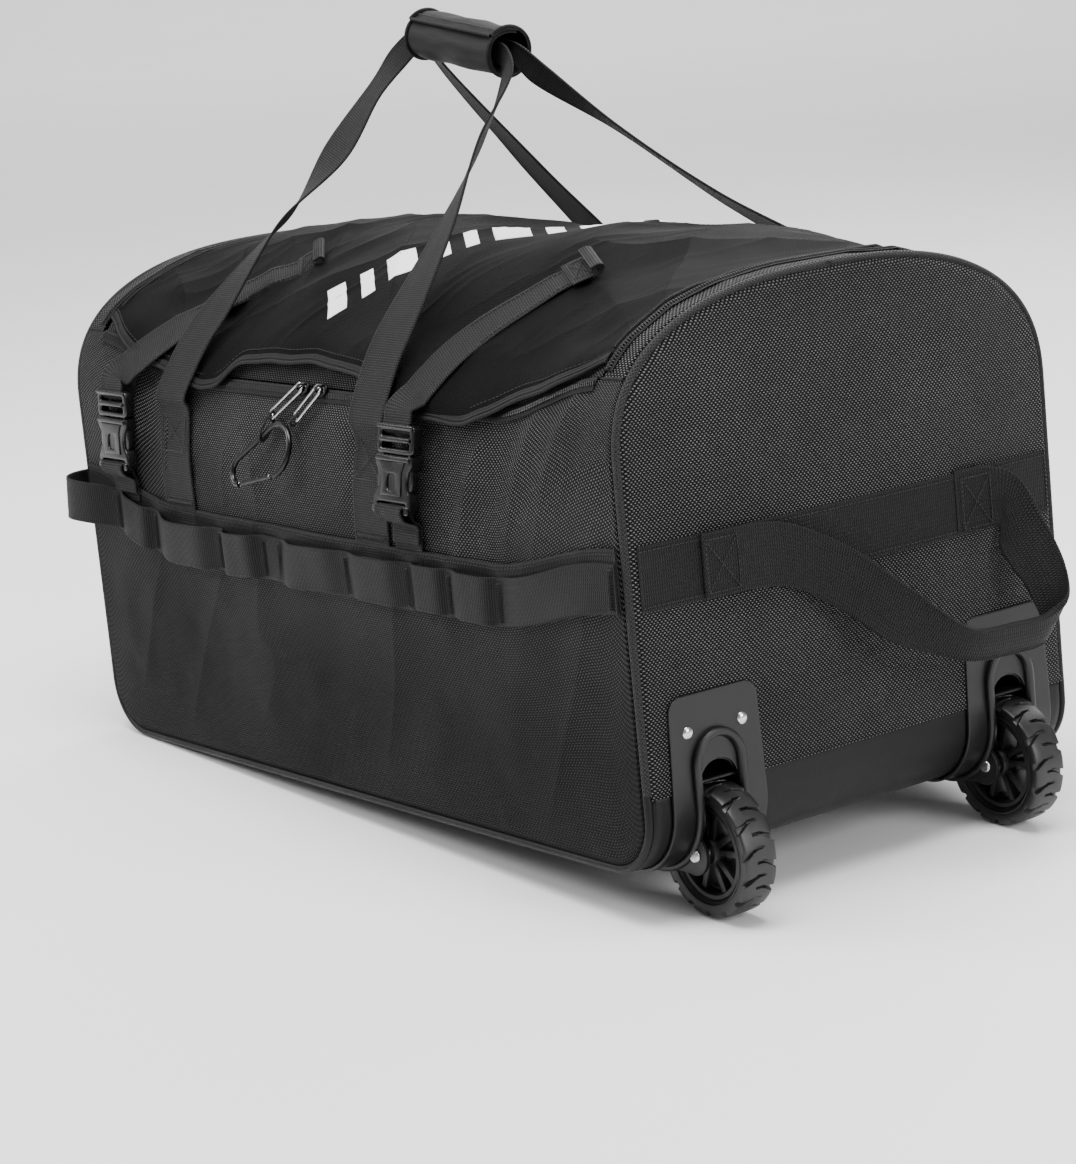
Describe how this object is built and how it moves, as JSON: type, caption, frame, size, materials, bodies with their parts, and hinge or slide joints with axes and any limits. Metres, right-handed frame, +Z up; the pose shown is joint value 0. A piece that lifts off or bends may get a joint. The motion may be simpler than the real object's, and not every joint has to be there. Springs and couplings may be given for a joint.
{
  "type": "rolling duffel bag",
  "caption": "Large soft rolling duffel bag with a zipped dome lid, paired carrying handles in a grip wrap, buckled lid straps, a haul handle and in-line wheels.",
  "frame": {"origin": "centre of the footprint, on the floor the bag stands on", "axes": "+X towards the wheel end, -Y towards the front with the buckles, +Z up"},
  "size_m": [0.906, 0.467, 0.6495],
  "materials": {
    "body_weave": "coarse woven nylon, matt",
    "base_fabric": "coated, satin",
    "lid_fabric": "coated nylon, matt",
    "webbing": "woven webbing, matt",
    "trim": "braided trim, matt",
    "plastic": "satin",
    "hub_plastic": "satin",
    "tyre": "matt",
    "steel": "polished",
    "gunmetal": "dark, satin",
    "board": "matt"
  },
  "bodies": {
    "shell": {"front_panel": "body_weave", "back_panel": "body_weave", "base_panel": "base_fabric", "base_board": "board", "wheel_end_panel": "body_weave", "foot_end_panel": "body_weave", "top_strip_wheel_end": "body_weave", "top_strip_foot_end": "body_weave", "piping_front": "trim", "piping_rear": "trim", "belt_front": "webbing", "belt_rear": "webbing", "belt_wheel_end": "webbing", "belt_foot_end": "webbing", "daisy_chain": "webbing", "handle_anchor_front_left": "webbing", "handle_anchor_front_right": "webbing", "handle_anchor_rear_left": "webbing", "handle_anchor_rear_right": "webbing", "zip_front": "trim", "zip_wheel_side": "trim", "zip_foot_side": "trim", "wheel_housing_near": "plastic", "rivet_near_1": "steel", "rivet_near_2": "steel", "axle_near": "steel", "wheel_housing_far": "plastic", "rivet_far_1": "steel", "rivet_far_2": "steel", "axle_far": "steel", "buckle_female_left": "plastic", "buckle_web_left": "webbing", "buckle_female_right": "plastic", "buckle_web_right": "webbing"},
    "wheel_near": {"tyre_near": "tyre", "hub_near": "hub_plastic", "bushing_near": "steel"},
    "wheel_far": {"tyre_far": "tyre", "hub_far": "hub_plastic", "bushing_far": "steel"},
    "haul": {"haul_handle": "webbing"},
    "lid": {"lid_panel": "lid_fabric", "storm_flap": "lid_fabric", "lid_strap_left": "webbing", "lid_strap_right": "webbing", "strap_keeper_left": "webbing", "strap_keeper_right": "webbing"},
    "buckle_left": {"buckle_male_left": "plastic"},
    "buckle_right": {"buckle_male_right": "plastic"},
    "slider_left": {"zip_slider_left": "steel"},
    "slider_right": {"zip_slider_right": "steel"},
    "pull_left": {"zip_pull_left": "steel", "pull_loop_left": "trim"},
    "pull_right": {"zip_pull_right": "steel", "pull_loop_right": "trim"},
    "carabiner": {"carabiner_body": "gunmetal"},
    "gate": {"carabiner_gate": "gunmetal"},
    "front_handle": {"front_handle_loop": "webbing", "grip_wrap": "trim"},
    "rear_handle": {"rear_handle_loop": "webbing"}
  },
  "joints": [
    {"name": "wheel_near_spin", "type": "hinge", "parent": "shell", "child": "wheel_near", "pos_m": [0.38713, -0.14072, 0.05093], "axis": [0, 1, 0], "continuous": true},
    {"name": "wheel_far_spin", "type": "hinge", "parent": "shell", "child": "wheel_far", "pos_m": [0.38713, 0.15728, 0.05093], "axis": [0, 1, 0], "continuous": true},
    {"name": "lid_hinge", "type": "hinge", "parent": "shell", "child": "lid", "pos_m": [-0.03215, 0.22458, 0.36831], "axis": [-0.9986, 0, -0.0526], "range_deg": [0, 105], "deforming": ["buckle_male_left", "buckle_male_right", "grip_wrap", "front_handle_loop"]},
    {"name": "front_handle_swing", "type": "hinge", "parent": "shell", "child": "front_handle", "pos_m": [-0.03047, -0.21372, 0.33635], "axis": [0.9986, 0, 0.0526], "range_deg": [0, 173.25]},
    {"name": "rear_handle_swing", "type": "hinge", "parent": "shell", "child": "rear_handle", "pos_m": [-0.03047, 0.23028, 0.33635], "axis": [-0.9986, 0, -0.0526], "range_deg": [0, 173.25]},
    {"name": "haul_handle_swing", "type": "hinge", "parent": "shell", "child": "haul", "pos_m": [0.38515, 0.00828, 0.29366], "axis": [0, -1, 0], "range_deg": [0, 100]},
    {"name": "zip_slide_left", "type": "slide", "parent": "shell", "child": "slider_left", "axis": [-0.9986, 0, -0.0526], "range_m": [0, 0.08]},
    {"name": "zip_slide_right", "type": "slide", "parent": "shell", "child": "slider_right", "axis": [0.9986, 0, 0.0526], "range_m": [0, 0.045]},
    {"name": "zip_pull_left_lift", "type": "hinge", "parent": "slider_left", "child": "pull_left", "pos_m": [-0.06982, -0.19258, 0.3609], "axis": [-0.6309, 0.2809, 0.7232], "range_deg": [0, 95]},
    {"name": "zip_pull_right_lift", "type": "hinge", "parent": "slider_right", "child": "pull_right", "pos_m": [-0.04186, -0.19258, 0.36237], "axis": [-0.741, 0.2465, 0.6246], "range_deg": [0, 95]},
    {"name": "carabiner_swing", "type": "hinge", "parent": "pull_left", "child": "carabiner", "pos_m": [-0.11065, -0.20786, 0.3176], "axis": [-0.7868, -0.2013, -0.5834], "range_deg": [0, 90]},
    {"name": "carabiner_gate_open", "type": "hinge", "parent": "carabiner", "child": "gate", "pos_m": [-0.13094, -0.22331, 0.27494], "axis": [-0.0183, -0.9373, 0.3481], "range_deg": [0, 28], "stiffness_Nm_per_rad": 0.03, "springref_deg": -5.73},
    {"name": "buckle_release_left", "type": "slide", "parent": "lid", "child": "buckle_left", "axis": [-0.0525, 0.0698, 0.9962], "range_m": [0, 0.045], "deforming": ["lid_strap_left"]},
    {"name": "buckle_release_right", "type": "slide", "parent": "lid", "child": "buckle_right", "axis": [-0.0517, 0.1822, 0.9819], "range_m": [0, 0.045], "deforming": ["lid_strap_right"]}
  ],
  "couplings": [
    {"joint": "front_handle_swing", "follows": "lid_hinge", "ratio": 1.65},
    {"joint": "rear_handle_swing", "follows": "lid_hinge", "ratio": 1.65}
  ]
}
